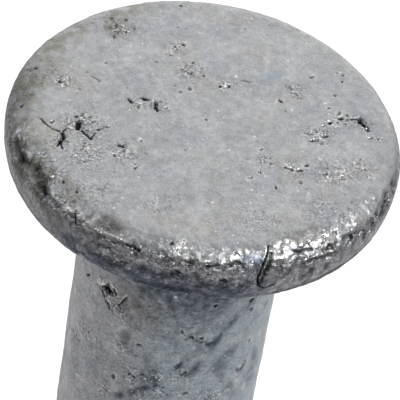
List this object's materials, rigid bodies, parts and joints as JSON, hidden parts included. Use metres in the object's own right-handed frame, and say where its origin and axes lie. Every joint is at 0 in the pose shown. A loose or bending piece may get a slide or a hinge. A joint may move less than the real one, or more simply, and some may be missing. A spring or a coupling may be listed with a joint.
{
  "type": "rail spike",
  "caption": "Galvanised round-head spike: a thick flat head with rounded edges on a round shank with a four-sided point, driven into a timber sleeper.",
  "frame": {"origin": "on the shank's axis, in the plane of the head's underside, where the head seats", "axes": "+Z runs along the shank's axis and out through the head; the point is at the -Z end, and its four flats face +X, -X, +Y and -Y"},
  "size_m": [0.0188, 0.0188, 0.1528],
  "materials": {
    "steel": "matte",
    "zinc": "matte"
  },
  "bodies": {
    "root": {"steel_spike": "steel", "zinc_coating": "zinc"}
  },
  "joints": []
}
